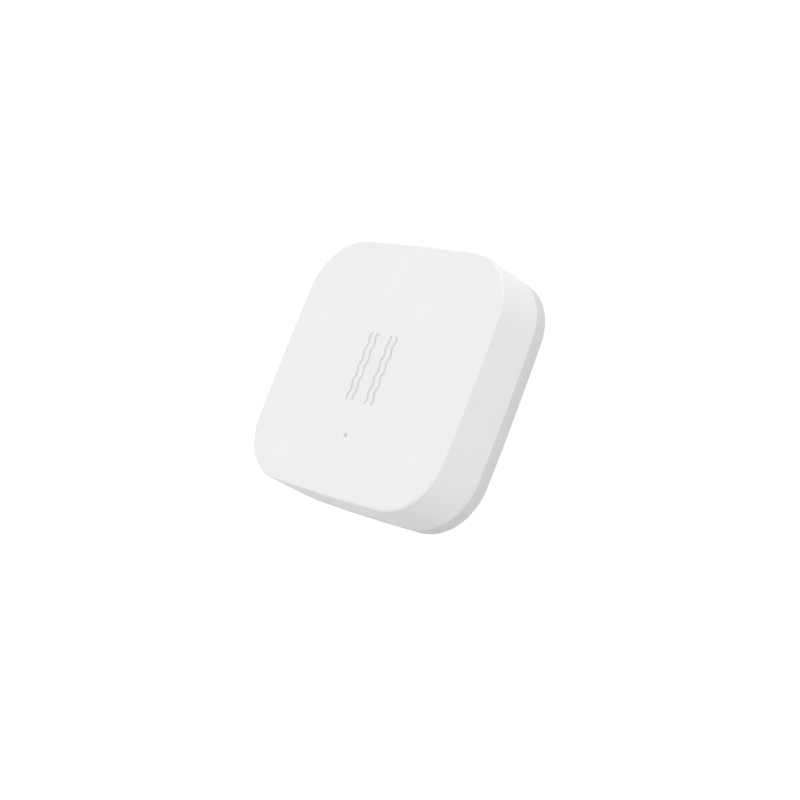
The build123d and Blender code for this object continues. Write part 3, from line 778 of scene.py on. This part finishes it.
class TAG_OT_front_shell(bpy.types.Operator):
    """Engrave the vibration mark into the white front shell"""

    bl_idname = "tag.front_shell"
    bl_label = "Front Shell"

    def execute(self, context):
        shell = context.scene.tag_shell
        mark = context.scene.tag_mark
        plastic = moulded_abs("white_moulded_abs", shell.front_color, shell.grain, shell.roughness)
        # The grooves take a darker grey: painted shade in the grooves
        groove_shade = groove_shade_paint("grey_groove_shade", mark.groove_shade_color, shade(mark.groove_shade_color, 1.08))
        grooves = modified(
            bpy.data.meshes.new("wave_grooves"),
            "NODES",
            {
                "Length": mark.length,
                "Wave Length": mark.wave_length,
                "Wave Height": mark.wave_height,
                "Tip Hook": mark.tip_hook,
                "Pair Place": mark.pair_place,
                "Line Gap": mark.line_gap,
                "Radius": mark.groove_width / 2,
                "Depth": mark.groove_depth,
                "Level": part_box("front_shell")[1].z + ROD_LIFT,
            },
            node_group=wave_groove_tree(groove_shade),
        )
        cutter = bpy.data.objects.new("wave_grooves", grooves)
        context.scene.collection.objects.link(cutter)
        mesh = merged_copy("front_shell")
        dress(mesh, plastic)
        mesh = modified(
            mesh,
            "BOOLEAN",
            operation="DIFFERENCE",
            solver="EXACT",
            object=cutter,
            material_mode="TRANSFER",
        )
        bpy.data.objects.remove(cutter)
        soften(mesh)
        level_flats(mesh)
        piece_of("engraved_front_shell", mesh, "housing", "shell_white", "front_shell")
        button = moulded_abs("white_button_abs", shell.front_color, shell.grain, shell.roughness)
        finish_nodes(button, "reset_button")
        return {"FINISHED"}


class TAG_OT_rear_shell(bpy.types.Operator):
    """Finish the grey rear shell and the battery cover"""

    bl_idname = "tag.rear_shell"
    bl_label = "Rear Shell"

    def execute(self, context):
        shell = context.scene.tag_shell
        plastic = moulded_abs("grey_moulded_abs", shell.rear_color, shell.grain, shell.roughness)
        finish_nodes(plastic, "base_shell", "battery_cover")
        return {"FINISHED"}


class TAG_OT_foam_pad(bpy.types.Operator):
    """Make the foam pad, a die-cut ring of acrylic foam whose cut edges draw in a little"""

    bl_idname = "tag.foam_pad"
    bl_label = "Foam Pad"

    def execute(self, context):
        pad = context.scene.tag_pad
        foam = acrylic_foam("acrylic_foam", pad.foam_color, pad.cell_size)
        low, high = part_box("adhesive_pad")
        outline, hole = pad_edges("adhesive_pad", pad.steps)
        thickness = high.z - low.z
        # The section of a cut edge: its inset, and the height as a share of the thickness
        section = (
            (0.15 * MM, 0.0),
            (0.05 * MM, 0.03),
            (0.0, 0.12),
            (pad.waist, 0.3),
            (pad.waist, 0.55),
            (0.0, 0.8),
            (0.0, 1.0),
        )
        rings = [
            [(point.normalized() * (point.length - inset), share) for point in outline]
            for inset, share in section
        ]
        rings += [
            [(point.normalized() * (hole + inset), share) for point in outline]
            for inset, share in reversed(section)
        ]
        build = bmesh.new()
        loops = [
            [build.verts.new((flat.x, flat.y, low.z + share * thickness)) for flat, share in ring]
            for ring in rings
        ]
        for number, loop in enumerate(loops):
            following = loops[(number + 1) % len(loops)]
            for step in range(len(loop)):
                after = (step + 1) % len(loop)
                build.faces.new((loop[step], loop[after], following[after], following[step]))
        bmesh.ops.recalc_face_normals(build, faces=build.faces)
        mesh = bpy.data.meshes.new("foam_ring")
        build.to_mesh(mesh)
        build.free()
        soften(mesh, math.radians(50))
        dress(mesh, foam)
        piece = piece_of("foam_ring", mesh, "housing", "foam_pad", "adhesive_pad")
        return {"FINISHED"}


class TAG_OT_light(bpy.types.Operator):
    """Finish the status light and its milky pipe"""

    bl_idname = "tag.light"
    bl_label = "Status Light"

    def execute(self, context):
        milky = milky_polycarbonate("milky_polycarbonate", linear("#ebecee"))
        finish_nodes(milky, "light_pipe")
        ceramic = sintered_ceramic("white_led_ceramic", linear("#e9e7e0"), linear("#dcd9d0"))
        phosphor = sintered_ceramic("led_phosphor", linear("#ead36a"), linear("#d8bd4c"))
        mesh = merged_copy("status_led")
        low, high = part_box("status_led")
        lens_z = lowest_step(mesh, low.z, high.z)
        dress(mesh, ceramic, phosphor)
        for face in mesh.polygons:
            face.material_index = 1 if face.center.z > lens_z + 0.001 * MM else 0
        soften(mesh)
        piece_of("led_package", mesh, "housing", "led_yellow", "status_led")
        return {"FINISHED"}


class TAG_OT_board(bpy.types.Operator):
    """Finish the circuit board, its copper and the parts soldered to it"""

    bl_idname = "tag.board"
    bl_label = "Circuit Board"

    def execute(self, context):
        board = context.scene.tag_board
        mask = solder_mask("green_solder_mask", board.mask_color, board.track_color)
        finish_nodes(mask, "circuit_board")
        gold = plated_metal("gold_plated_copper", board.gold_color, linear("#c79f50"), 0.25)
        finish_nodes(gold, "antenna_trace", "test_pads")
        epoxy = moulded_epoxy("black_moulded_epoxy", linear("#1d1e20"), linear("#35363a"))
        finish_nodes(epoxy, "microcontroller", "accelerometer")
        lid = plated_metal("seam_welded_lid", board.steel_color, linear("#a9a8a4"), 0.3)
        finish_nodes(lid, "radio_crystal")
        tin = plated_metal("tinned_end_cap", linear("#d9d8d2"), linear("#b5b3ab"), 0.4)
        tan = sintered_ceramic("tan_capacitor_ceramic", linear("#c59a63"), linear("#a97c48"))
        dark = sintered_ceramic("black_resistor_glaze", linear("#232428"), linear("#33353a"))
        ochre = moulded_epoxy("ochre_moulded_epoxy", linear("#d6a53c"), linear("#e2b860"))
        for name, node, body, slot in (
            ("capped_capacitors", "chip_capacitors", tan, "capacitor_tan"),
            ("capped_resistors", "chip_resistors", dark, "resistor_black"),
            ("capped_reservoir", "reservoir_capacitor", ochre, "reservoir_yellow"),
        ):
            mesh = merged_copy(node)
            dress(mesh, body, tin)
            for shell in shells(mesh):
                self.cap_ends(mesh, shell)
            soften(mesh)
            piece_of(name, mesh, "housing", slot, node)
        return {"FINISHED"}

    def cap_ends(self, mesh, shell):
        """Gives the faces at both ends of one chip the mesh's second material."""
        xs = [mesh.vertices[v].co.x for number in shell for v in mesh.polygons[number].vertices]
        middle, half = (min(xs) + max(xs)) / 2, (max(xs) - min(xs)) / 2
        for number in shell:
            face = mesh.polygons[number]
            face.material_index = 1 if abs(face.center.x - middle) > END_CAP_START * half else 0


class TAG_OT_switch(bpy.types.Operator):
    """Finish the side switch"""

    bl_idname = "tag.switch"
    bl_label = "Side Switch"

    def execute(self, context):
        board = context.scene.tag_board
        nylon = moulded_nylon("black_switch_nylon", linear("#1c1c1e"), linear("#28282b"))
        finish_nodes(nylon, "switch_housing", "switch_plunger")
        tinned = plated_metal("tinned_steel_frame", board.steel_color, linear("#a8a7a3"), 0.32)
        finish_nodes(tinned, "switch_frame")
        mesh = merged_copy("switch_spring")
        soften(mesh)
        strip = plated_metal("bright_spring_strip", linear("#d8d2c4"), linear("#b1a995"), 0.22)
        dress(mesh, strip)
        spring = piece_of("bowed_spring", mesh, "housing", "spring_steel", "switch_spring")
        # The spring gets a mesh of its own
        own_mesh(spring)
        return {"FINISHED"}


class TAG_OT_battery(bpy.types.Operator):
    """Finish the coin cell, its holder and its contacts"""

    bl_idname = "tag.battery"
    bl_label = "Battery"

    def execute(self, context):
        can = plated_metal("nickel_plated_can", linear("#dcdcda"), linear("#bab9b6"), 0.24)
        finish_nodes(can, "battery_can", "battery_cap")
        strip = plated_metal("nickel_plated_strip", linear("#d3cfc4"), linear("#aea893"), 0.26)
        finish_nodes(strip, "positive_contact", "negative_contact")
        gasket = moulded_nylon("black_gasket", linear("#222224"), linear("#2e2e31"))
        finish_nodes(gasket, "battery_seal")
        nylon = moulded_nylon("black_holder_nylon", linear("#1f1f21"), linear("#2b2b2e"))
        finish_nodes(nylon, "battery_holder")
        oxide = pressed_felt("pressed_oxide", linear("#26262a"), linear("#38383d"))
        finish_nodes(oxide, "battery_cathode")
        felt = pressed_felt("separator_felt", linear("#e2e0d8"), linear("#cfccc2"))
        finish_nodes(felt, "battery_separator")
        foil = plated_metal("soft_metal_foil", linear("#c6c7c8"), linear("#9d9ea0"), 0.5)
        finish_nodes(foil, "battery_anode")
        return {"FINISHED"}


class TAG_OT_screws(bpy.types.Operator):
    """Finish the board screws"""

    bl_idname = "tag.screws"
    bl_label = "Board Screws"

    def execute(self, context):
        zinc = plated_metal("zinc_plated_steel", linear("#c9cbcd"), linear("#9fa3a8"), 0.3)
        finish_nodes(zinc, "board_screws")
        return {"FINISHED"}


class TAG_OT_stage(bpy.types.Operator):
    """Set the floor, the soft boxes round it and the camera"""

    bl_idname = "tag.stage"
    bl_label = "Stage"

    def execute(self, context):
        stage = context.scene.tag_stage
        context.scene.view_settings.view_transform = "Standard"
        self.add_world(context, stage)
        self.add_floor(context, stage)
        self.add_camera(context, stage)
        return {"FINISHED"}

    def add_world(self, context, stage):
        """A white surround to the eye, which lights the object from its soft boxes only."""
        world = bpy.data.worlds.new("studio")
        world.use_nodes = True
        tree = world.node_tree
        tree.nodes.clear()
        sky = add_node(tree, "ShaderNodeTexCoord").outputs["Generated"]
        studio = 0.0
        # Each soft box is brightest in its middle and fades out at its edge
        for direction, strength in SOFT_BOXES:
            facing = add_node(
                tree, "ShaderNodeVectorMath", {0: sky, 1: direction}, operation="DOT_PRODUCT"
            )
            box = add_node(
                tree,
                "ShaderNodeMapRange",
                {
                    "Value": facing.outputs["Value"],
                    "From Min": stage.box_edge,
                    "To Max": strength * stage.box_strength,
                },
                interpolation_type="SMOOTHSTEP",
            )
            lit = add_node(
                tree, "ShaderNodeMath", {0: studio, 1: box.outputs["Result"]}, operation="ADD"
            )
            studio = lit.outputs[0]
        level = add_node(
            tree,
            "ShaderNodeMapRange",
            {"Value": seen_share(tree), "To Min": studio, "To Max": 1.0},
        )
        light = add_node(
            tree,
            "ShaderNodeBackground",
            {"Color": (1, 1, 1, 1), "Strength": level.outputs["Result"]},
        )
        add_node(tree, "ShaderNodeOutputWorld", {"Surface": light.outputs[0]})
        context.scene.world = world

    def add_floor(self, context, stage):
        """A sweep of paper that looks white to the camera and keeps the object's shadow."""
        half = stage.floor_size / 2
        mesh = bpy.data.meshes.new("floor")
        corners = ((-half, -half), (half, -half), (half, half), (-half, half))
        mesh.from_pydata([(x, y, -FLOOR_DROP) for x, y in corners], [], [(0, 1, 2, 3)])
        floor = bpy.data.objects.new("floor", mesh)
        context.scene.collection.objects.link(floor)
        material = bpy.data.materials.new("white_sweep")
        material.use_nodes = True
        tree = material.node_tree
        tree.nodes.clear()
        paper = add_node(tree, "ShaderNodeBsdfDiffuse", {"Color": linear(PAPER_COLOR)})
        glow = add_node(tree, "ShaderNodeEmission", {"Strength": PAPER_GLOW})
        lit = add_node(tree, "ShaderNodeAddShader", {0: glow.outputs[0], 1: paper.outputs[0]})
        mix = add_node(
            tree,
            "ShaderNodeMixShader",
            {0: seen_share(tree), 1: paper.outputs[0], 2: lit.outputs[0]},
        )
        add_node(tree, "ShaderNodeOutputMaterial", {"Surface": mix.outputs[0]})
        mesh.materials.append(material)

    def add_camera(self, context, stage):
        """A camera at the photograph's place and angle."""
        camera = bpy.data.cameras.new("camera")
        camera.lens = stage.lens
        camera.sensor_width = 36
        camera.clip_start = 0.01
        holder = bpy.data.objects.new("camera", camera)
        turn = Matrix(CAMERA_AXES).transposed().to_4x4()
        holder.matrix_world = Matrix.Translation(stage.camera_place) @ turn
        context.scene.collection.objects.link(holder)
        context.scene.camera = holder


class TAG_PT_panel(bpy.types.Panel):
    """Lists the pieces of the sensor tag"""

    bl_idname = "TAG_PT_panel"
    bl_label = "Sensor Tag"
    bl_space_type = "VIEW_3D"
    bl_region_type = "UI"
    bl_category = "Sensor Tag"

    def draw(self, context):
        for name, group in SETTINGS.items():
            box = self.layout.box()
            box.label(text=group.__doc__)
            for key in group.__annotations__:
                box.prop(getattr(context.scene, name), key)
        for operator in OPERATORS:
            self.layout.operator(operator.bl_idname)


SETTINGS = {
    "tag_shell": ShellSettings,
    "tag_mark": MarkSettings,
    "tag_pad": PadSettings,
    "tag_board": BoardSettings,
    "tag_stage": StageSettings,
}
OPERATORS = (
    TAG_OT_front_shell,
    TAG_OT_rear_shell,
    TAG_OT_foam_pad,
    TAG_OT_light,
    TAG_OT_board,
    TAG_OT_switch,
    TAG_OT_battery,
    TAG_OT_screws,
    TAG_OT_stage,
)


def register():
    for group in SETTINGS.values():
        bpy.utils.register_class(group)
    for operator in OPERATORS:
        bpy.utils.register_class(operator)
    bpy.utils.register_class(TAG_PT_panel)
    for name, group in SETTINGS.items():
        setattr(bpy.types.Scene, name, PointerProperty(type=group))


def unregister():
    for name in SETTINGS:
        delattr(bpy.types.Scene, name)
    bpy.utils.unregister_class(TAG_PT_panel)
    for operator in reversed(OPERATORS):
        bpy.utils.unregister_class(operator)
    for group in reversed(SETTINGS.values()):
        bpy.utils.unregister_class(group)


def main():
    register()
    bpy.ops.tag.front_shell()
    bpy.ops.tag.rear_shell()
    bpy.ops.tag.foam_pad()
    bpy.ops.tag.light()
    bpy.ops.tag.board()
    bpy.ops.tag.switch()
    bpy.ops.tag.battery()
    bpy.ops.tag.screws()
    bpy.ops.tag.stage()


if __name__ == "__main__":
    main()
